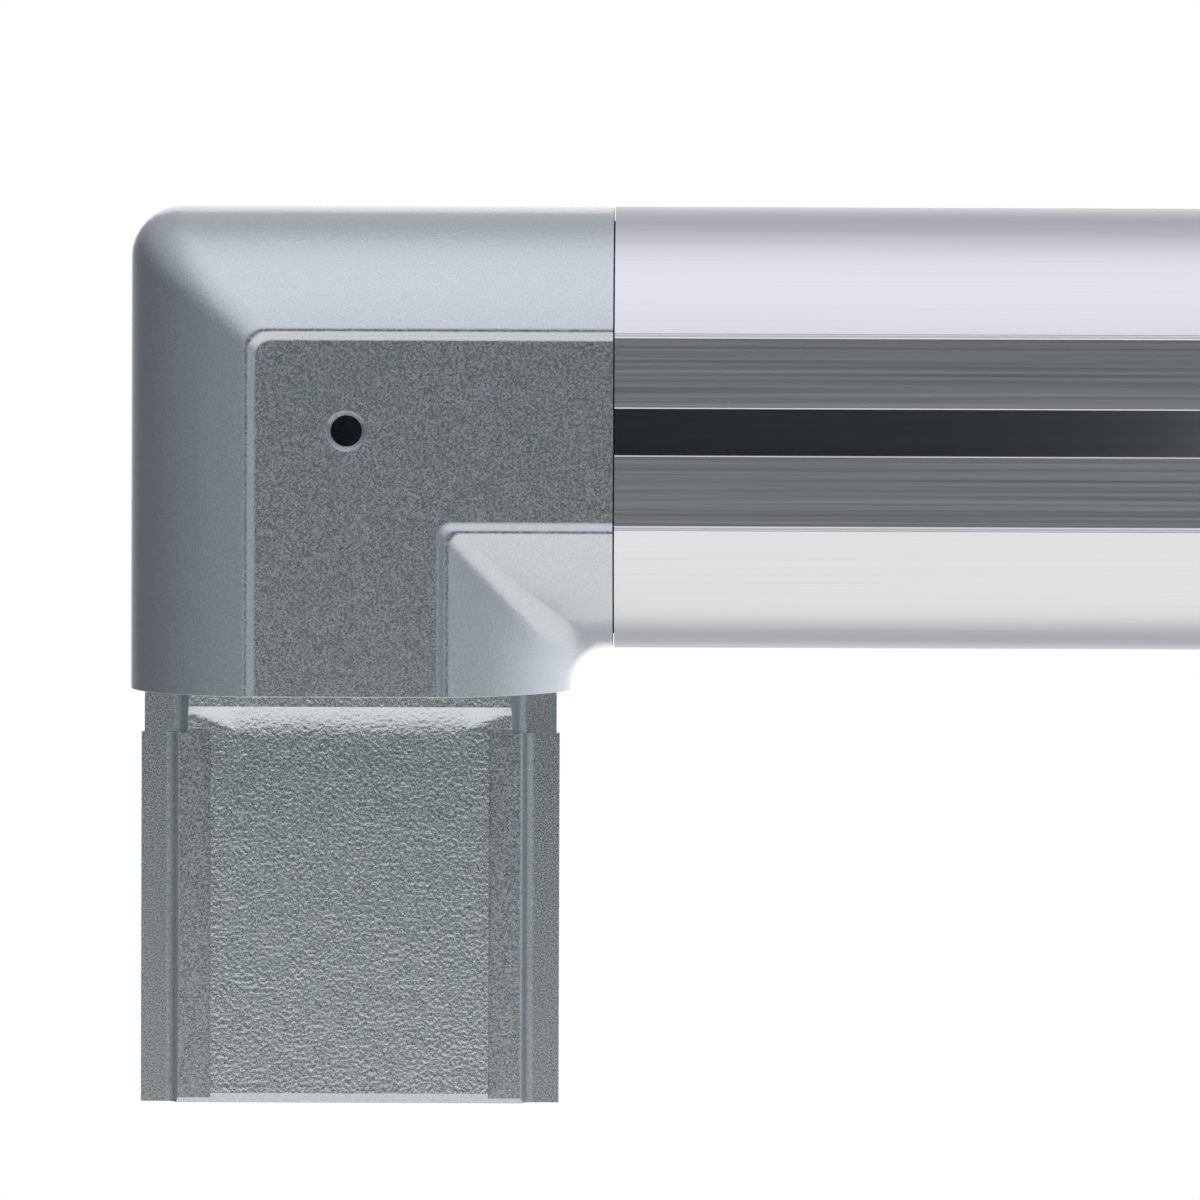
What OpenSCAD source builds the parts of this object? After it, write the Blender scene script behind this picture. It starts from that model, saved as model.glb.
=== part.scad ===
// Corner connector of a football goal: a hollow cast corner of oval section, with a plug-in
// spigot for the upright and another for the crossbar, and the cut length of oval crossbar
// profile that is fitted on it.
//
// X runs along the crossbar, Y towards the front of the goal and Z up. The net side faces -Y.
// The origin is the centre of the shoulder that the upright's end meets, on the upright's axis.

/* [Oval section] */
// Width of the oval, across the frame
oval_w = 100; // [92:1:130]
// Depth of the oval, from the front to the net side
oval_d = 120; // [100:1:150]

/* [Rear recess] */
// Width of the flat recess along the net side
recess_w = 43; // [30:0.5:56]
// Depth of the recess at its edges
recess_drop = 1.4; // [0.6:0.1:3]
// Width of the soft step at the edge of the casting's recess
cast_step_w = 1.8; // [0.8:0.1:4]
// Width of the crisp step at the edge of the profile's recess
bar_step_w = 0.6; // [0.3:0.1:2]

/* [Corner body] */
// Thickness of the body's wall
body_wall = 6; // [4:0.5:9]
// Rounding of the outside corner at its outline
outer_r = 12.2; // [6:0.2:20]
// Fillet of the inside corner at its outline
inner_r = 8.7; // [5:0.1:16]
// Rounding where the recess turns the corner
recess_turn_r = 2.4; // [1:0.2:5]
// Straight stretch of each leg next to its joint
leg_straight = 0.3; // [0.1:0.1:40]
// Softened edge round each joint face
joint_edge = 0.5; // [0.2:0.1:1.5]

/* [Hole in the recess] */
// Diameter of the hole
hole_d = 7; // [4:0.1:14]
// Width of the bevelled rim round the hole
hole_rim = 1.1; // [0.4:0.1:3]

/* [Spigots] */
// Length of each spigot, from its shoulder
spigot_l = 94; // [60:0.5:140]
// Clearance between a spigot and the profile round it
slide_gap = 0.3; // [0.15:0.05:0.8]
// Thickness of the hollow spigot's wall
spigot_wall = 6; // [4:0.5:8]
// Length of the relieved neck before the side rails start
neck_l = 10; // [8:0.5:20]
// How far the neck is relieved inside the rails
neck_relief = 0.7; // [0.3:0.1:2]
// Distance of the cast panel behind the spigot's axis
panel_back = 8.1; // [7:0.1:10]
// Width of the cast panel
panel_w = 63; // [50:0.5:66]
// Width of the milled strip on each side of the panel
strip_w = 7.5; // [4:0.5:9]
// Depth to which the strips are milled below the panel
strip_cut = 1.1; // [0.5:0.1:2]
// Distance by which the strips start before the rails
strip_lead = 1; // [0.5:0.5:3]
// Distance of the side rails' rear faces behind the axis
rail_back = 2; // [1:0.1:4]
// Run of the sloping wall between a strip and its rail
rail_slope = 1.2; // [0.5:0.1:3]
// Bevel across the panel at the spigot's end
end_bevel = 2.3; // [1:0.1:5]

/* [Land under the shoulder] */
// Width of the raised land at the shoulder
land_w = 72.8; // [66:0.2:74]
// Length of the land
land_l = 3.8; // [2:0.2:5]
// Height of the land above the panel
land_rise = 4.4; // [2:0.2:6]
// Run of the land's hollow side walls, down to the rails
land_flare = 4.2; // [2:0.2:6]
// Length of the ramp from the land to the panel, in the middle
ramp_l = 6.6; // [3:0.2:12]
// Length of the same ramp at its sides
ramp_side_l = 2; // [1:0.2:3]
// Width of the ramp's long middle stretch
ramp_mid_w = 50; // [30:1:52]
// Width over which the ramp shortens on each side
ramp_taper_w = 6; // [2:0.5:6]

/* [Crossbar profile] */
// Length of the crossbar profile
bar_l = 150; // [110:1:400]
// Thickness of the profile's oval wall
bar_wall = 2.2; // [1.6:0.1:3]
// Thickness of the profile's inner web
web_t = 2.2; // [1.6:0.1:4]
// Width of the net slot
slot_w = 10.2; // [6:0.1:16]
// Thickness of the lips beside the net slot
lip_t = 3; // [2:0.1:5]
// Rounding of the lips' outer edges
lip_edge = 0.45; // [0.2:0.05:1]
// Gap between the profile's end and the casting
joint_gap = 0.3; // [0.1:0.1:1]

/* [Hidden] */

// Turn of one step round an oval, in degrees
oval_step = 5;
// Number of steps round the mitred corner
corner_steps = 6;
// Number of steps across a recess edge and a hollow side wall
edge_steps = 5;
// How fast the corner's rounding grows from the recess to the outline
round_growth = 1.5;
// How far a cutting solid runs past what it cuts
past = 1;

half_w = oval_w / 2;
half_d = oval_d / 2;
half_recess = recess_w / 2;
leg = half_w + inner_r + joint_edge + leg_straight;

// The spigots follow the inside of the profile, with the slide gap between
fit = bar_wall + slide_gap;
rail_a = half_w - fit;
rail_b = half_d - fit;
neck_a = rail_a - neck_relief;
neck_b = rail_b - neck_relief;
land_back = panel_back + land_rise;
strip_back = panel_back - strip_cut;
strip_edge = panel_w / 2 + strip_w;
web_front = -land_back - slide_gap;

function soft_step(s) = (1 - cos(180 * s)) / 2;

// Depth coordinate of an oval's net side at a distance from its middle plane
function rear_y(a, b, x) = -b * sqrt(1 - pow(x / a, 2));

// The oval from the depth y0 to the depth y1 on both sides, y0 nearer the net side
function oval_part(a, b, y0, y1) =
    let (t0 = acos(-y0 / b), t1 = acos(-y1 / b),
         n = ceil((t1 - t0) / oval_step),
         side = [for (i = [0:n]) let (t = t0 + (t1 - t0) * i / n) [a * sin(t), -b * cos(t)]])
    concat(side, [for (i = [n:-1:0]) [-side[i][0], side[i][1]]]);

// The front of an oval, from the depth y0 on one side round to the same depth on the other
function oval_front(a, b, y0) =
    let (t0 = acos(-y0 / b), n = 2 * ceil((180 - t0) / oval_step))
    [for (i = [0:n]) let (t = t0 + (360 - 2 * t0) * i / n) [a * sin(t), -b * cos(t)]];

// Depth coordinate of the recess floor for a given width of step at its edge
function recess_floor(step_w) = rear_y(half_w, half_d, half_recess + step_w / 2) + recess_drop;

// The whole oval with its rear recess, its first and last points on the recess floor
function recessed_oval(step_w) =
    let (x0 = half_recess - step_w / 2, x1 = half_recess + step_w / 2,
         y0 = recess_floor(step_w), y1 = rear_y(half_w, half_d, x1),
         edge = [for (i = [0:edge_steps - 1]) let (s = i / edge_steps)
                    [x0 + (x1 - x0) * s, y0 + (y1 - y0) * soft_step(s)]])
    concat(edge, oval_front(half_w, half_d, y1),
           [for (i = [edge_steps - 1:-1:0]) [-edge[i][0], edge[i][1]]]);

// Rounding of the mitred corner for a point at the distance u from the corner's middle line
function corner_r(u, far_r) =
    let (s = max(0, (abs(u) - half_recess) / (half_w - half_recess)))
    recess_turn_r + (far_r - recess_turn_r) * pow(min(s, 1), round_growth);

// Rings of points that carry a section round the corner, from the upright's leg to the
// crossbar's. A section point is [distance outwards, depth].
function corner_rings(section, r_out, r_in) =
    [for (j = [0:corner_steps]) let (turn = 90 * j / corner_steps)
        [for (p = section) let (r = corner_r(p[0], p[0] > 0 ? r_out : r_in))
            [-p[0] + r * (1 - cos(turn)), p[1], leg + p[0] - r * (1 - sin(turn))]]];

function upright_ring(section, z) = [for (p = section) [-p[0], p[1], z]];
function crossbar_ring(section, x) = [for (p = section) [x, p[1], leg + p[0]]];
function inset(section, e) =
    [for (p = section) [p[0] * (1 - e / half_w), p[1] * (1 - e / half_d)]];
function middle(ring) =
    [for (k = [0:2]) let (c = [for (p = ring) p[k]]) (max(c) + min(c)) / 2];

// A closed solid through rings of equally many points, each end closed about its middle. Seen
// along the way from the first ring to the last, the points of a ring run anticlockwise.
module loft(rings) {
    n = len(rings[0]);
    last = (len(rings) - 1) * n;
    points = concat([for (ring = rings) each ring],
                    [middle(rings[0]), middle(rings[len(rings) - 1])]);
    sides = [for (j = [0:n:last - n], i = [0:n - 1]) let (k = (i + 1) % n)
                each [[j + i, j + k, j + n + k], [j + i, j + n + k, j + n + i]]];
    ends = [for (i = [0:n - 1]) let (k = (i + 1) % n)
                each [[last + n, k, i], [last + n + 1, last + i, last + k]]];
    polyhedron(points = points, faces = concat(sides, ends));
}

// The outside of the body: the oval carried from one joint face round the mitre to the other
module body_skin() {
    section = recessed_oval(cast_step_w);
    small = inset(section, joint_edge);
    loft(concat([upright_ring(small, 0), upright_ring(section, joint_edge)],
                corner_rings(section, outer_r, inner_r),
                [crossbar_ring(section, leg - joint_edge), crossbar_ring(small, leg)]));
}

// The hollow of the body, a wall's thickness inside the skin and the shoulders
module body_hollow() {
    a = half_w - body_wall;
    b = half_d - body_wall;
    section = oval_front(a, b, recess_floor(cast_step_w) + body_wall);
    loft(concat([upright_ring(section, body_wall)],
                corner_rings(section, max(outer_r - body_wall, recess_turn_r), inner_r / 2),
                [crossbar_ring(section, leg - body_wall)]));
}

// Distance from the middle plane of the hollow side wall, at a depth between land and rails
function side_x(y) =
    land_w / 2 + land_flare * (1 - sqrt(1 - pow((y + land_back) / (land_back - rail_back), 2)));

function mirrored(points) = [for (i = [len(points) - 1:-1:0]) [-points[i][0], points[i][1]]];

// Section of the neck, out to the panel's depth or, at the shoulder, to the land's
module neck_section(back) {
    wall = [for (i = [0:edge_steps]) let (y = -back + (back - rail_back) * sin(90 * i / edge_steps))
               [side_x(y), y]];
    polygon(concat(wall, oval_front(neck_a, neck_b, -rail_back), mirrored(wall)));
}

module rail_section() {
    right = [[strip_edge, -panel_back], [strip_edge, -strip_back],
             [strip_edge + rail_slope, -rail_back]];
    polygon(concat(right, oval_front(rail_a, rail_b, -rail_back), mirrored(right)));
}

// The slope from the land down to the panel: long in the middle, short at the sides
module ramp() {
    mid = ramp_mid_w / 2;
    end = mid + ramp_taper_w;
    // Each station is [x at the land, x at the panel, length of the ramp there]
    right = [[mid, mid, ramp_l], [end, end, ramp_side_l],
             [side_x(-land_back), side_x(-panel_back), ramp_side_l]];
    left = [for (i = [2:-1:0]) [-right[i][0], -right[i][1], right[i][2]]];
    loft([for (s = concat(left, right))
        [[s[0], -land_back, past - land_l], [s[1], past - panel_back, past - land_l],
         [s[1], past - panel_back, -land_l - s[2]], [s[1], -panel_back, -land_l - s[2]],
         [s[0], -land_back, -land_l]]]);
}

// The hollow of a spigot, which opens into the body
module spigot_hollow() {
    right = [[strip_edge - spigot_wall, -strip_back + spigot_wall],
             [strip_edge - spigot_wall / 2, -rail_back + spigot_wall]];
    a = rail_a - spigot_wall;
    b = rail_b - spigot_wall;
    translate([0, 0, -spigot_l - past])
        linear_extrude(spigot_l + body_wall + 2 * past)
            polygon(concat(right, oval_front(a, b, -rail_back + spigot_wall), mirrored(right)));
}

// One spigot, pointing down from its shoulder at Z 0
module spigot() {
    difference() {
        union() {
            translate([0, 0, -neck_l]) linear_extrude(neck_l + past) neck_section(panel_back);
            translate([0, 0, -land_l]) linear_extrude(land_l + past) neck_section(land_back);
            translate([0, 0, -spigot_l]) linear_extrude(spigot_l - neck_l) rail_section();
            ramp();
        }
        // Strips milled beside the panel
        for (side = [0, 1])
            mirror([side, 0, 0])
                translate([panel_w / 2, -strip_back - oval_d, -spigot_l - past])
                    cube([oval_w, oval_d, spigot_l - neck_l + strip_lead + past]);
        // Bevel across the rear edge of the end
        translate([0, -panel_back, -spigot_l])
            rotate([45, 0, 0])
                cube([oval_w, end_bevel * sqrt(2), end_bevel * sqrt(2)], center = true);
    }
}

// Puts a piece of the upright's side on the crossbar's side of the corner
module to_crossbar() {
    translate([leg, 0, leg]) rotate([0, -90, 0]) children();
}

module corner_casting() {
    floor_y = recess_floor(cast_step_w);
    color([0.60, 0.63, 0.65])
    difference() {
        union() {
            body_skin();
            spigot();
            to_crossbar() spigot();
        }
        body_hollow();
        spigot_hollow();
        to_crossbar() spigot_hollow();
        // Hole through the recess floor, with its bevelled rim
        translate([0, floor_y - past, leg])
            rotate([-90, 0, 0]) {
                cylinder(d = hole_d, h = body_wall + 2 * past, $fn = 48);
                cylinder(d1 = hole_d + 2 * (hole_rim + past), d2 = hole_d, h = hole_rim + past,
                         $fn = 48);
            }
    }
}

// Section of the crossbar, with [distance outwards, depth] as its plane
module bar_section() {
    a = half_w - bar_wall;
    b = half_d - bar_wall;
    floor_y = recess_floor(bar_step_w);
    difference() {
        polygon(recessed_oval(bar_step_w));
        polygon(oval_front(a, b, web_front));
        polygon(oval_part(a, b, floor_y + lip_t, web_front - web_t));
        translate([-slot_w / 2, -half_d]) square([slot_w, floor_y + half_d + lip_t + past]);
        for (side = [-1, 1])
            polygon([[side * slot_w / 2 - side * past, floor_y - past],
                     [side * (slot_w / 2 + lip_edge + past), floor_y - past],
                     [side * slot_w / 2 - side * past, floor_y + lip_edge + past]]);
    }
}

module crossbar_profile() {
    color([0.84, 0.84, 0.86])
        translate([leg + joint_gap, 0, leg]) rotate([0, -90, 0]) mirror([0, 0, 1])
            linear_extrude(bar_l) bar_section();
}

corner_casting();
crossbar_profile();
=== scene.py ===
"""Cast corner connector of a ball goal's frame, with the end of its crossbar fitted.

The pieces are modelled in millimetres, as they are made, and brought to metres at the end.
X runs along the crossbar, Y towards the front of the goal and Z up. The net side faces -Y.
"""

import math

import bmesh
import bpy
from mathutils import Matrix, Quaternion, Vector


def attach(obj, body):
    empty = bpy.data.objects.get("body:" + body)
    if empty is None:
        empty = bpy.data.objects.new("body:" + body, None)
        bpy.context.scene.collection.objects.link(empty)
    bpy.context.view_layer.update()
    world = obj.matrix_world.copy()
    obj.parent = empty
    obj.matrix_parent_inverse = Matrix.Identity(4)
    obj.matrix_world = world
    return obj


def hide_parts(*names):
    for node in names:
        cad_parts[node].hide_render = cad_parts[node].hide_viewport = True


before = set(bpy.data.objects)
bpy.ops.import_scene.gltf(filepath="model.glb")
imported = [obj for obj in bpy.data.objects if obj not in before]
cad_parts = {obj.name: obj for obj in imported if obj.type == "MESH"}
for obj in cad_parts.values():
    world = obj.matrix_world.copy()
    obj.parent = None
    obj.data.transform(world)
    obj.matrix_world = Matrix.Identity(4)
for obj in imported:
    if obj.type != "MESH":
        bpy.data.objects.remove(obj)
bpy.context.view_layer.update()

# Sizes in millimetres, mostly those of the part's source. The recess turns the outside
# corner wider here, and the neck's side walls run out a little less.
HALF_W, HALF_D = 50, 60          # the oval section, across and deep
LEG = 59.5                       # from the corner's centre to each joint face
STOCK = 125                      # length of a leg before the mitre is cut
WALL = 6                         # the hollow casting's wall
HALF_RECESS, RECESS_DROP = 21.5, 1.4
CAST_STEP, BAR_STEP = 1.8, 0.6   # width of the recess's sloping edges
OUTER_R, INNER_R = (4.4, 12.2), (2.4, 8.7)  # the two corners, at the recess and at the outline
HOLE_R, HOLE_RIM = 3.5, 1.1

# The spigot: distances behind its axis, half widths, and lengths from the shoulder
PANEL_BACK, STRIP_BACK, RAIL_BACK, LAND_BACK = 8.1, 7, 2, 12.5
HALF_PANEL, STRIP_EDGE, RAIL_EDGE, HALF_LAND = 31.5, 39, 40.2, 36.4
SPIGOT_L, NECK_L, LAND_L, STRIP_TOP = 94, 10, 3.8, 9
LAND_FLARE, NECK_RELIEF, END_BEVEL = 3.7, 0.7, 2.3
RAMP_MID, RAMP_END = 25, 31      # between these the ramp shortens, on each side
RAMP_L, RAMP_SIDE_L = 6.6, 2

# The crossbar profile
BAR_START, BAR_L, BAR_WALL = 59.8, 150, 2.2
WEB, LIP, HALF_SLOT = 2.2, 3, 5.1
CLEARANCE = 0.3                  # between a spigot and the profile round it
FIT = BAR_WALL + CLEARANCE

SIDES = 128                      # facets round an oval
GRAIN = 0.4                      # size at which the coat's flakes are drawn


# ---- Shop tools -------------------------------------------------------------------------

def primitive(name, add, **sizes):
    """Adds a primitive at its size and place, and nothing else stays selected."""
    bpy.ops.object.select_all(action="DESELECT")
    add(**sizes)
    piece = bpy.context.object
    piece.name = piece.data.name = name
    bpy.ops.object.transform_apply(location=True, rotation=True, scale=True)
    return piece


def oval_rod(name, half_w, half_d, low, high):
    """An upright rod of oval section."""
    return primitive(name, bpy.ops.mesh.primitive_cylinder_add, vertices=SIDES, radius=1,
                     depth=high - low, location=(0, 0, (low + high) / 2),
                     scale=(half_w, half_d, 1))


def block(name, low, high):
    """A square block between two corners."""
    return primitive(name, bpy.ops.mesh.primitive_cube_add, size=1,
                     location=[(a + b) / 2 for a, b in zip(low, high)],
                     scale=[b - a for a, b in zip(low, high)])


def pick(piece, kind, test):
    """Selects faces, edges or points by their place and direction, in edit mode."""
    bpy.ops.object.mode_set(mode="OBJECT")
    bpy.ops.object.select_all(action="DESELECT")
    piece.select_set(True)
    bpy.context.view_layer.objects.active = piece
    bpy.ops.object.mode_set(mode="EDIT")
    bpy.ops.mesh.select_mode(type=kind)
    bpy.ops.mesh.select_all(action="DESELECT")
    mesh = bmesh.from_edit_mesh(piece.data)
    mesh.normal_update()
    if kind == "FACE":
        for face in mesh.faces:
            face.select_set(test(face.calc_center_median(), face.normal))
    elif kind == "EDGE":
        for edge in mesh.edges:
            a, b = (v.co for v in edge.verts)
            if test((a + b) / 2, (b - a).normalized()):
                edge.select_set(True)
    else:
        for point in mesh.verts:
            point.select_set(test(point.co, point.normal))
    mesh.select_flush_mode()
    bmesh.update_edit_mesh(piece.data)


def done():
    bpy.ops.object.mode_set(mode="OBJECT")


def saw(piece, point, normal):
    """Saws off what lies past a plane and closes the cut."""
    pick(piece, "FACE", lambda place, facing: True)
    bpy.ops.mesh.bisect(plane_co=point, plane_no=normal, use_fill=True, clear_outer=True,
                        threshold=0.001)
    done()


def scribe(piece, test, point, normal):
    """Splits the picked faces along a plane."""
    pick(piece, "FACE", test)
    bpy.ops.mesh.bisect(plane_co=point, plane_no=normal, threshold=0.001)
    done()


def raise_face(piece, test, rise, narrow=1):
    """Extrudes the picked faces, and narrows the raised end across the leg."""
    pick(piece, "FACE", test)
    bpy.ops.mesh.extrude_region_move(TRANSFORM_OT_translate={"value": rise})
    bpy.ops.transform.resize(value=(narrow, 1, 1), center_override=(0, 0, 0))
    done()


def round_edges(piece, test, width, segments=3):
    """Bevels the picked edges."""
    pick(piece, "EDGE", test)
    bpy.ops.mesh.bevel(offset=width, segments=segments, profile=0.5, affect="EDGES",
                       clamp_overlap=True, loop_slide=True)
    done()


def finish_with(piece, kind, **settings):
    """Adds a modifier and applies it."""
    modifier = piece.modifiers.new(kind.title(), kind)
    for key, value in settings.items():
        setattr(modifier, key, value)
    bpy.ops.object.select_all(action="DESELECT")
    piece.select_set(True)
    bpy.context.view_layer.objects.active = piece
    bpy.ops.object.modifier_apply(modifier=modifier.name)


def combine(piece, operation, *others):
    """Joins other pieces to a piece, or cuts them out of it."""
    for other in others:
        finish_with(piece, "BOOLEAN", operation=operation, solver="EXACT", object=other)
        bpy.data.objects.remove(other)


def cut_mitre(leg):
    """Cuts a leg along the mitre plane and leaves the cut open, to meet its mirror image."""
    pick(leg, "FACE", lambda place, facing: True)
    bpy.ops.mesh.bisect(plane_co=(0, 0, LEG), plane_no=(1, 0, 1), clear_outer=True,
                        threshold=0.001)
    done()


def across_mitre(piece):
    """Adds the crossbar's half of the corner by mirroring the upright's in the mitre plane."""
    bpy.ops.object.select_all(action="DESELECT")
    bpy.ops.object.empty_add(location=(0, 0, LEG), rotation=(0, math.radians(-45), 0))
    mitre = bpy.context.object
    finish_with(piece, "MIRROR", mirror_object=mitre, use_clip=False, use_mirror_merge=True,
                merge_threshold=0.01)
    bpy.data.objects.remove(mitre)


def rear_y(half_w, half_d, x):
    return -half_d * math.sqrt(1 - (x / half_w) ** 2)


def recess_floor(step):
    return rear_y(HALF_W, HALF_D, HALF_RECESS + step / 2) + RECESS_DROP


def cut_recess(rod, step, low, high, outer_edge, inner_edge):
    """Mills the flat recess along a rod's net side, with sloping edges of a given width."""
    floor, reach = recess_floor(step), 10
    foot, edge = HALF_RECESS - step / 2, HALF_RECESS + step / 2
    cutter = block("recess_cutter", (-1, floor - reach, low - 5), (1, floor, high + 5))
    for y, half in ((floor, foot), (floor - reach, foot + reach * step / RECESS_DROP)):
        pick(cutter, "VERT", lambda place, facing: abs(place.y - y) < 0.01)
        bpy.ops.transform.resize(value=(half, 1, 1), center_override=(0, 0, 0))
        done()
    combine(rod, "DIFFERENCE", cutter)
    rim = rear_y(HALF_W, HALF_D, edge)
    for x, y, width in ((edge, rim, outer_edge), (foot, floor, inner_edge)):
        round_edges(rod, lambda place, way: abs(abs(place.x) - x) < 0.02 and abs(place.y - y) < 0.05
                    and abs(way.z) > 0.99, width, 4)


# ---- Materials --------------------------------------------------------------------------

def colour(code):
    """The linear colour of an sRGB hex value."""
    parts = [int(code[i:i + 2], 16) / 255 for i in (1, 3, 5)]
    return [p / 12.92 if p <= 0.04045 else ((p + 0.055) / 1.055) ** 2.4 for p in parts] + [1]


def node(tree, kind, links=(), **values):
    """Adds a node with its settings, its values by socket name or number, and its links."""
    made = tree.nodes.new(kind)
    for key, value in values.pop("settings", {}).items():
        setattr(made, key, value)
    for key, value in values.pop("inputs", {}).items():
        made.inputs[key].default_value = value
    for source, socket in links:
        tree.links.new(source, made.inputs[socket])
    return made


def new_material(name):
    material = bpy.data.materials.new(name)
    material.use_nodes = True
    material.node_tree.nodes.clear()
    return material, material.node_tree


def coated(name, low_tone, high_tone, roughness, peel, gloss):
    """Polyester powder coat with aluminium flake over a cast surface. The flakes are a fine
    grain in the metal, some lying flat and some askew, so that dark faces sparkle and bright
    ones stay even; the clear resin over them has flowed out and shines, with a faint orange
    peel. The grain is drawn coarser than the flakes, to show at all. roughness holds the flat
    flakes' and the askew ones', and peel the size in millimetres and the height in microns
    of each wave of the surface."""
    material, tree = new_material(name)
    place = node(tree, "ShaderNodeTexCoord").outputs["Object"]
    flake = node(tree, "ShaderNodeTexNoise", [(place, "Vector")],
                 inputs={"Scale": 1000 / GRAIN, "Detail": 2, "Roughness": 0.6})
    glint = node(tree, "ShaderNodeMapRange", [(flake.outputs["Fac"], "Value")],
                 inputs={"From Min": 0.32, "From Max": 0.68})
    tone = node(tree, "ShaderNodeMix", [(glint.outputs[0], "Factor")],
                settings={"data_type": "RGBA"},
                inputs={6: colour(low_tone), 7: colour(high_tone)})
    # More flakes lie flat than askew, so the lower part of the noise is all flat ones
    spread = node(tree, "ShaderNodeMapRange", [(flake.outputs["Fac"], "Value")],
                  inputs={"From Min": 0.4, "From Max": 0.68, "To Min": roughness[0],
                          "To Max": roughness[1]})
    surface = None
    for size, height in peel:
        wave = node(tree, "ShaderNodeTexNoise", [(place, "Vector")],
                    inputs={"Scale": 1000 / size, "Detail": 1, "Roughness": 0.4})
        links = [(wave.outputs["Fac"], "Height")] + ([(surface, "Normal")] if surface else [])
        surface = node(tree, "ShaderNodeBump", links,
                       inputs={"Strength": 1, "Distance": height / 1e6}).outputs["Normal"]
    grain = node(tree, "ShaderNodeBump", [(flake.outputs["Fac"], "Height"), (surface, "Normal")],
                 inputs={"Strength": 1, "Distance": 0.00005})
    shader = node(tree, "ShaderNodeBsdfPrincipled",
                  [(tone.outputs[2], "Base Color"), (spread.outputs[0], "Roughness"),
                   (grain.outputs["Normal"], "Normal"), (surface, "Coat Normal")],
                  inputs={"Metallic": 0.9, "Coat Weight": gloss, "Coat Roughness": 0.12})
    node(tree, "ShaderNodeOutputMaterial", [(shader.outputs[0], "Surface")])
    return material


def powder_coat():
    """The body's smooth coat, with an orange peel some 3 mm across and 1 mm ripples."""
    return coated("silver_powder_coat", "#B2B9BD", "#CCD1D5", (0.285, 0.465),
                  ((3, 14), (1.1, 40)), 1)


def cast_skin():
    """The spigot's panel as it left the mould, under the same coat: the mould's grit stands
    out as crisp pimples 1 mm across, in slow waves."""
    return coated("coated_rough_casting", "#BAC2C4", "#D4DADC", (0.26, 0.45),
                  ((6, 110), (0.9, 155)), 1)


def milled_face():
    """Faces milled to size where the profile slides on, then coated: flat, with little more
    than the grain."""
    return coated("coated_milled_casting", "#A4ABAE", "#CAD0D2", (0.28, 0.50),
                  ((2.5, 5),), 0.6)


def anodised_profile():
    """Extruded aluminium, clear anodised: a pale satin metal with the die's fine lines, under
    1 mm apart, all along the bar. They show where the metal mirrors the dark."""
    material, tree = new_material("clear_anodised_extrusion")
    place = node(tree, "ShaderNodeTexCoord").outputs["Object"]
    along = node(tree, "ShaderNodeMapping", [(place, "Vector")], inputs={"Scale": (0.004, 1, 1)})
    lines = node(tree, "ShaderNodeTexNoise", [(along.outputs[0], "Vector")],
                 inputs={"Scale": 1300, "Detail": 3, "Roughness": 0.6})
    mark = node(tree, "ShaderNodeMapRange", [(lines.outputs["Fac"], "Value")],
                inputs={"From Min": 0.3, "From Max": 0.7})
    tone = node(tree, "ShaderNodeMix", [(mark.outputs[0], "Factor")],
                settings={"data_type": "RGBA"},
                inputs={6: colour("#D4D5D8"), 7: colour("#DADADD")})
    gloss = node(tree, "ShaderNodeMapRange", [(lines.outputs["Fac"], "Value")],
                 inputs={"From Min": 0.3, "From Max": 0.7, "To Min": 0.30, "To Max": 0.39})
    fine = node(tree, "ShaderNodeBump", [(lines.outputs["Fac"], "Height")],
                inputs={"Strength": 0.05, "Distance": 0.00004})
    shader = node(tree, "ShaderNodeBsdfPrincipled",
                  [(tone.outputs[2], "Base Color"), (gloss.outputs[0], "Roughness"),
                   (fine.outputs["Normal"], "Normal")], inputs={"Metallic": 1.0})
    node(tree, "ShaderNodeOutputMaterial", [(shader.outputs[0], "Surface")])
    return material


def chamber_wall():
    """The extrusion's inside: duller, and a darker grey, painted shade for the slot."""
    material, tree = new_material("extrusion_inside_painted_shade")
    place = node(tree, "ShaderNodeTexCoord").outputs["Object"]
    along = node(tree, "ShaderNodeMapping", [(place, "Vector")], inputs={"Scale": (0.01, 1, 1)})
    lines = node(tree, "ShaderNodeTexNoise", [(along.outputs[0], "Vector")],
                 inputs={"Scale": 600, "Detail": 2, "Roughness": 0.6})
    # Painted shade: these greys, darker than the outside's, set how dark the slot looks
    tone = node(tree, "ShaderNodeMix", [(lines.outputs["Fac"], "Factor")],
                settings={"data_type": "RGBA"},
                inputs={6: colour("#AEB1B4"), 7: colour("#C2C4C6")})
    shader = node(tree, "ShaderNodeBsdfPrincipled", [(tone.outputs[2], "Base Color")],
                  inputs={"Metallic": 0.8, "Roughness": 0.36})
    node(tree, "ShaderNodeOutputMaterial", [(shader.outputs[0], "Surface")])
    return material


# ---- The casting ------------------------------------------------------------------------

def growing_r(u):
    """Radius of the corner at a distance from its middle line: small at the recess, full at
    the outline."""
    share = max(0, (abs(u) - HALF_RECESS) / (HALF_W - HALF_RECESS))
    near, far = OUTER_R if u > 0 else INNER_R
    return near + (far - near) * min(share, 1) ** 1.5


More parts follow.
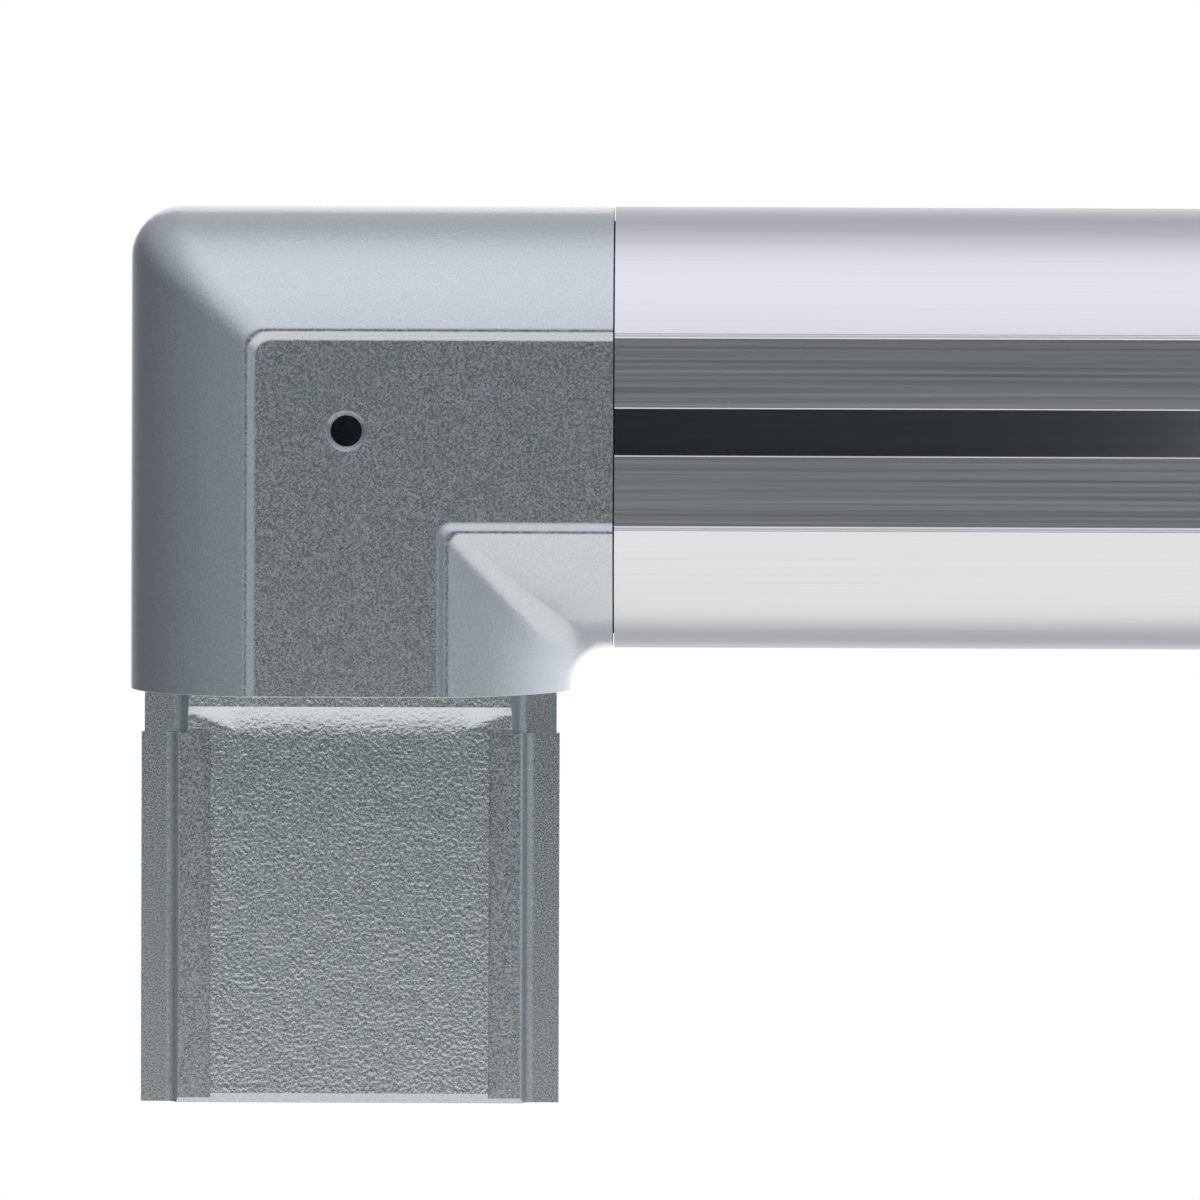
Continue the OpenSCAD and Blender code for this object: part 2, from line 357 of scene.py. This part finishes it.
def cast_body():
    """The oval body: one leg with its recess, mitred, mirrored and rounded over the mitre."""
    body = oval_rod("corner_body", HALF_W, HALF_D, 0, STOCK)
    cut_recess(body, CAST_STEP, 0, STOCK, 0.9, 0.6)
    cut_mitre(body)
    across_mitre(body)
    mesh = body.data
    weight = mesh.attributes.new("bevel_weight_edge", "FLOAT", "EDGE")
    for edge in mesh.edges:
        a, b = (mesh.vertices[i].co for i in edge.vertices)
        if all(abs(v.x + v.z - LEG) < 0.02 for v in (a, b)):
            way = (b - a).normalized()
            r = growing_r(-(a.x + b.x) / 2)
            weight.data[edge.index].value = r * math.sqrt(1 - way.z ** 2) / 20
    finish_with(body, "BEVEL", width=20, segments=8, limit_method="WEIGHT", profile=0.5,
                use_clamp_overlap=False, loop_slide=True, offset_type="OFFSET")
    round_edges(body, lambda place, way: abs(place.z) < 0.01 or abs(place.x - LEG) < 0.01, 0.25, 2)
    return body


def side_x(y):
    """Half width of the neck's hollow side wall at a depth."""
    t = (y + LAND_BACK) / (LAND_BACK - RAIL_BACK)
    return HALF_LAND + LAND_FLARE * (1 - math.sqrt(1 - t * t))


def neck():
    """The relieved neck under the shoulder, with the raised land and the ramp below it."""
    relief = FIT + NECK_RELIEF
    piece = oval_rod("spigot_neck", HALF_W - relief, HALF_D - relief, -NECK_L - 0.8, 3)
    saw(piece, (0, -RAIL_BACK, 0), (0, -1, 0))

    def rear(y, low=-99):
        return lambda place, facing: (facing.y < -0.9 and abs(place.y + y) < 0.02
                                      and abs(place.x) < side_x(-y) + 0.01 and place.z > low)

    for side in (-1, 1):
        scribe(piece, lambda place, facing: facing.y < -0.9 and abs(place.y + RAIL_BACK) < 0.02,
               (side * side_x(-RAIL_BACK), 0, 0), (1, 0, 0))
    # Raised in steps that narrow, so that the side walls come out hollow
    depths = [RAIL_BACK, 2.6, 3.6, 4.9, 6.4, PANEL_BACK]
    for a, b in zip(depths, depths[1:]):
        raise_face(piece, rear(a), (0, a - b, 0), side_x(-b) / side_x(-a))
    scribe(piece, rear(PANEL_BACK), (0, 0, -LAND_L), (0, 0, 1))
    depths = [PANEL_BACK, 10.2, LAND_BACK]
    for a, b in zip(depths, depths[1:]):
        raise_face(piece, rear(a, -LAND_L), (0, a - b, 0), side_x(-b) / side_x(-a))

    def under_land(place, facing):
        return facing.z < -0.9 and abs(place.z + LAND_L) < 0.02

    # The ramp: the foot of the land's lower wall is drawn down the panel, less at the sides
    for x in (-RAMP_END, -RAMP_MID, RAMP_MID, RAMP_END):
        scribe(piece, under_land, (x, 0, 0), (1, 0, 0))
    for low, high, run in ((0, RAMP_MID + 0.1, RAMP_L), (RAMP_END - 0.1, 40, RAMP_SIDE_L)):
        pick(piece, "VERT", lambda place, facing: abs(place.z + LAND_L) < 0.02
             and abs(place.y + PANEL_BACK) < 0.02 and low < abs(place.x) < high)
        bpy.ops.transform.translate(value=(0, 0, -run))
        done()
    return piece


def rails():
    """The sliding length of the spigot: oval front, side rails, milled strips and cast panel."""
    piece = oval_rod("spigot_rails", HALF_W - FIT, HALF_D - FIT, -SPIGOT_L, -NECK_L)
    saw(piece, (0, -RAIL_BACK, 0), (0, -1, 0))

    def rear(y, half):
        return lambda place, facing: (facing.y < -0.9 and abs(place.y + y) < 0.02
                                      and abs(place.x) < half)

    # The strips stand up from the rails, and the panel from the strips
    for back, top, edge, narrow in ((RAIL_BACK, STRIP_BACK, RAIL_EDGE, STRIP_EDGE / RAIL_EDGE),
                                    (STRIP_BACK, PANEL_BACK, HALF_PANEL, 1)):
        for side in (-1, 1):
            scribe(piece, rear(back, 60), (side * edge, 0, 0), (1, 0, 0))
        raise_face(piece, rear(back, edge - 5), (0, back - top, 0), narrow)
    # The strips' outer corners are eased, and a fillet runs along their feet
    for x, y, width in ((STRIP_EDGE, STRIP_BACK, 0.5), (RAIL_EDGE, RAIL_BACK, 1.8)):
        round_edges(piece, lambda place, way: abs(way.z) > 0.99 and abs(abs(place.x) - x) < 0.02
                    and abs(place.y + y) < 0.02, width, 5)
    saw(piece, (0, -PANEL_BACK, END_BEVEL - SPIGOT_L), (0, -1, -1))
    return piece


def spigot():
    piece = neck()
    combine(piece, "UNION", rails())
    for side in (-1, 1):
        low, high = sorted((side * HALF_PANEL, side * 45))
        combine(piece, "DIFFERENCE",
                block("strip_cutter", (low, -20, -12), (high, -STRIP_BACK, -STRIP_TOP)))
    # The cutter leaves the tops of the strips and rails slightly eased
    round_edges(piece, lambda place, way: abs(way.x) > 0.99 and abs(place.z + STRIP_TOP) < 0.02
                and place.y < -PANEL_BACK + 0.05 and abs(place.x) > HALF_PANEL, 0.5, 2)
    return piece


def spigot_hollow():
    """The open core of the spigot."""
    inset = FIT + WALL
    piece = oval_rod("spigot_core", HALF_W - inset, HALF_D - inset, -SPIGOT_L - 2, WALL + 2)
    saw(piece, (0, WALL - RAIL_BACK, 0), (0, -1, 0))
    raise_face(piece, lambda place, facing: facing.y < -0.9, (0, RAIL_BACK - STRIP_BACK, 0), 0.8)
    return piece


def body_hollow():
    """The open core of the body, a wall inside the oval, the recess and the shoulders."""
    piece = oval_rod("body_core", HALF_W - WALL, HALF_D - WALL, WALL, STOCK)
    saw(piece, (0, recess_floor(CAST_STEP) + WALL, 0), (0, -1, 0))
    cut_mitre(piece)
    across_mitre(piece)
    return piece


def casting(coat, cast, milled):
    """The whole casting: body and both spigots in one, cored, and drilled for the net."""
    body = cast_body()
    stub = spigot()
    for piece in (body, stub):
        for material in (coat, cast, milled):
            piece.data.materials.append(material)
    for face in stub.data.polygons:
        place, facing = face.center, face.normal
        on_panel = facing.y < -0.3 and abs(place.x) < HALF_PANEL + 8 and place.y < -PANEL_BACK + 0.2
        face.material_index = 1 if on_panel else 2
    across_mitre(stub)
    combine(body, "UNION", stub)
    core = spigot_hollow()
    across_mitre(core)
    combine(body, "DIFFERENCE", body_hollow(), core)
    floor, length = recess_floor(CAST_STEP), 14
    # A step drill: its wide end sinks the rim of the hole
    drill = primitive("step_drill", bpy.ops.mesh.primitive_cylinder_add, vertices=64,
                      radius=HOLE_R, depth=length, rotation=(math.radians(90), 0, 0),
                      location=(0, floor + HOLE_RIM + length / 2, LEG))
    rim_run = HOLE_RIM + 1
    widen = (HOLE_R + rim_run) / HOLE_R
    pick(drill, "FACE", lambda place, facing: facing.y < -0.9)
    bpy.ops.mesh.extrude_region_move(TRANSFORM_OT_translate={"value": (0, -rim_run, 0)})
    bpy.ops.transform.resize(value=(widen, 1, widen), center_override=(0, 0, LEG))
    done()
    combine(body, "DIFFERENCE", drill)
    body.name = body.data.name = "coated_corner_casting"
    return body


# ---- The crossbar -----------------------------------------------------------------------

def crossbar(anodised, inside):
    """The slotted oval profile, made upright and then laid along the crossbar."""
    low, high = BAR_START, BAR_START + BAR_L
    floor = recess_floor(BAR_STEP)
    web = -LAND_BACK - CLEARANCE
    bar = oval_rod("bar", HALF_W, HALF_D, low, high)
    cut_recess(bar, BAR_STEP, low, high, 0.35, 0.35)
    front = oval_rod("front_chamber", HALF_W - BAR_WALL, HALF_D - BAR_WALL, low - 5, high + 5)
    saw(front, (0, web, 0), (0, -1, 0))
    rear = oval_rod("net_chamber", HALF_W - BAR_WALL, HALF_D - BAR_WALL, low - 5, high + 5)
    saw(rear, (0, web - WEB, 0), (0, 1, 0))
    saw(rear, (0, floor + LIP, 0), (0, -1, 0))
    slot = block("slot", (-HALF_SLOT, -HALF_D - 10, low - 5),
                 (HALF_SLOT, floor + LIP + 1, high + 5))
    combine(bar, "DIFFERENCE", front, rear, slot)
    round_edges(bar, lambda place, way: abs(abs(place.x) - HALF_SLOT) < 0.01
                and abs(way.z) > 0.99 and abs(place.y - floor) < 0.01, 0.45, 3)
    pick(bar, "VERT", lambda place, facing: True)
    bpy.ops.transform.rotate(value=math.radians(-90), orient_axis="Y", center_override=(0, 0, 0))
    bpy.ops.transform.translate(value=(0, 0, LEG))
    done()
    bar.data.materials.append(anodised)
    bar.data.materials.append(inside)
    # The chambers' faces take the inside material, whose darker grey is painted shade
    for face in bar.data.polygons:
        y, out = face.center.y, abs(face.center.z - LEG)
        open_side = ((y / (HALF_D - 1)) ** 2 + (out / (HALF_W - 1)) ** 2 > 1
                     or y < floor + LIP - 0.1)
        face.material_index = 0 if open_side or abs(face.normal.x) > 0.9 else 1
    bar.name = bar.data.name = "slotted_crossbar_profile"
    return bar


def deliver(piece, replaced):
    """Brings a finished piece to metres, smooths what turns by less than 32 degrees, and hands
    the piece to the frame."""
    pick(piece, "VERT", lambda place, facing: True)
    bpy.ops.mesh.remove_doubles(threshold=0.0005)
    bpy.ops.transform.resize(value=(0.001, 0.001, 0.001), center_override=(0, 0, 0))
    done()
    bpy.ops.object.shade_smooth_by_angle(angle=math.radians(32))
    finish_with(piece, "WEIGHTED_NORMAL", mode="FACE_AREA", keep_sharp=True)
    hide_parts(replaced)
    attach(piece, "root")


deliver(casting(powder_coat(), cast_skin(), milled_face()), "corner_casting")
deliver(crossbar(anodised_profile(), chamber_wall()), "crossbar_profile")


# ---- Studio -----------------------------------------------------------------------------

def studio_floor():
    """A pale floor below the part and out towards the camera. It glows for the camera, so that
    it is white where it is lit, and for the metal, which mirrors it."""
    bpy.ops.object.select_all(action="DESELECT")
    bpy.ops.mesh.primitive_plane_add(size=1.2, location=(0, -0.4, -0.27))
    floor = bpy.context.object
    floor.name = "studio_floor"
    material, tree = new_material("pale_floor_paint")
    ray = node(tree, "ShaderNodeLightPath")
    paint = node(tree, "ShaderNodeBsdfDiffuse", inputs={"Color": colour("#EFEDEA")})
    # Enough for white in the open, and little enough to leave the shadow
    seen = node(tree, "ShaderNodeMath", [(ray.outputs["Is Camera Ray"], 0)],
                settings={"operation": "MULTIPLY"}, inputs={1: 0.3})
    strength = node(tree, "ShaderNodeMath",
                    [(ray.outputs["Is Glossy Ray"], 0), (seen.outputs[0], 2)],
                    settings={"operation": "MULTIPLY_ADD"}, inputs={1: 0.52})
    glow = node(tree, "ShaderNodeEmission", [(strength.outputs[0], "Strength")],
                inputs={"Color": colour("#FFF9EE")})
    both = node(tree, "ShaderNodeAddShader", [(paint.outputs[0], 0), (glow.outputs[0], 1)])
    node(tree, "ShaderNodeOutputMaterial", [(both.outputs[0], "Surface")])
    floor.data.materials.append(material)


def studio_light():
    """A white tent, open and dark towards the camera, dim at the left and brightest above and
    below. Each blend paints one more part of it, by direction."""
    world = bpy.data.worlds.new("studio_tent")
    bpy.context.scene.world = world
    world.use_nodes = True
    tree = world.node_tree
    tree.nodes.clear()
    way = node(tree, "ShaderNodeTexCoord").outputs["Generated"]
    axes = node(tree, "ShaderNodeSeparateXYZ", [(way, 0)])

    def ramp(source, start, end, low, high):
        made = node(tree, "ShaderNodeMapRange", [(source, "Value")],
                    settings={"interpolation_type": "SMOOTHSTEP"},
                    inputs={"From Min": start, "From Max": end, "To Min": low, "To Max": high})
        return made.outputs[0]

    def blend(factor, a, b):
        made = node(tree, "ShaderNodeMix", [(factor, "Factor")], settings={"data_type": "RGBA"})
        for socket, value in ((6, a), (7, b)):
            if isinstance(value, (list, tuple)):
                made.inputs[socket].default_value = value
            else:
                tree.links.new(value, made.inputs[socket])
        return made.outputs[2]

    def level(r, g, b):
        return r, g, b, 1

    def where_both(first, second):
        return node(tree, "ShaderNodeMath", [(first, 0), (second, 1)],
                    settings={"operation": "MULTIPLY"}).outputs[0]

    x, y, z = (axes.outputs[key] for key in "XYZ")
    front_back = blend(ramp(y, -0.7, 0.9, 0, 1), level(0.022, 0.039, 0.036),
                       level(0.46, 0.47, 0.51))
    dim = blend(ramp(y, -0.3, 0.9, 0, 1), level(0.28, 0.305, 0.335), level(0.11, 0.12, 0.13))
    left = blend(ramp(x, 0, -0.55, 0, 1), front_back, dim)
    # The left wall is lit higher up, where the outer corner of the casting mirrors it
    upper = where_both(ramp(z, 0.1, 0.6, 0, 1), ramp(x, -0.05, -0.4, 0, 1))
    left = blend(upper, left, level(0.44, 0.46, 0.50))
    right = blend(ramp(x, 0.2, 0.8, 0, 1), left, level(0.47, 0.50, 0.55))
    # The tent's right wall grows brighter towards the backdrop
    beyond = where_both(ramp(y, -0.2, 0.6, 0, 1), ramp(x, 0.12, 0.5, 0, 1))
    right = blend(beyond, right, level(1.0, 1.02, 1.08))
    # Ceiling and table reach further towards the camera than towards the backdrop
    rise, fall = (node(tree, "ShaderNodeVectorMath", [(way, 0)],
                       settings={"operation": "DOT_PRODUCT"}, inputs={1: (0, -0.3, up)}
                       ).outputs["Value"] for up in (1, -1))
    above = blend(ramp(rise, 0.42, 0.92, 0, 1), right, level(1.05, 1.06, 1.13))
    below = blend(ramp(fall, 0.42, 0.92, 0, 1), above, level(1.03, 1.0, 0.92))
    # The white backdrop, which the shiny coat mirrors along the outlines
    wall = where_both(ramp(y, 0.9, 0.94, 0, 1), ramp(x, -0.25, -0.12, 0, 1))
    tent = blend(wall, below, level(1.05, 1.05, 1.05))
    ray = node(tree, "ShaderNodeLightPath")
    shown = blend(ray.outputs["Is Camera Ray"], tent, level(1, 1, 1))
    background = node(tree, "ShaderNodeBackground", [(shown, "Color")])
    node(tree, "ShaderNodeOutputWorld", [(background.outputs[0], "Surface")])


def soft_lamp(name, place, target, size, energy):
    bpy.ops.object.select_all(action="DESELECT")
    bpy.ops.object.light_add(type="AREA", location=place)
    lamp = bpy.context.object
    lamp.name = name
    lamp.data.size = size
    lamp.data.energy = energy
    lamp.rotation_euler = (Vector(target) - Vector(place)).to_track_quat("-Z", "Y").to_euler()


def camera():
    """The long lens of the photograph, level with the corner and a little above its middle."""
    data = bpy.data.cameras.new("camera")
    seen = bpy.data.objects.new("camera", data)
    bpy.context.collection.objects.link(seen)
    data.sensor_width = 36
    data.lens = 12777 / 1200 * 36
    data.clip_end = 100
    place, target = Vector((0.0689, -2.9, 0.1216)), Vector((0.0565, 0, 0.0202))
    aim = (target - place).to_track_quat("-Z", "Y")
    seen.location = place
    seen.rotation_mode = "QUATERNION"
    seen.rotation_quaternion = aim @ Quaternion((0, 0, 1), math.radians(0.204))
    bpy.context.scene.camera = seen


studio_floor()
studio_light()
soft_lamp("overhead_softbox", (0.1, 0.2, 1.8), (0.05, 0, 0), 1.6, 1)
camera()
bpy.context.scene.view_settings.view_transform = "Standard"
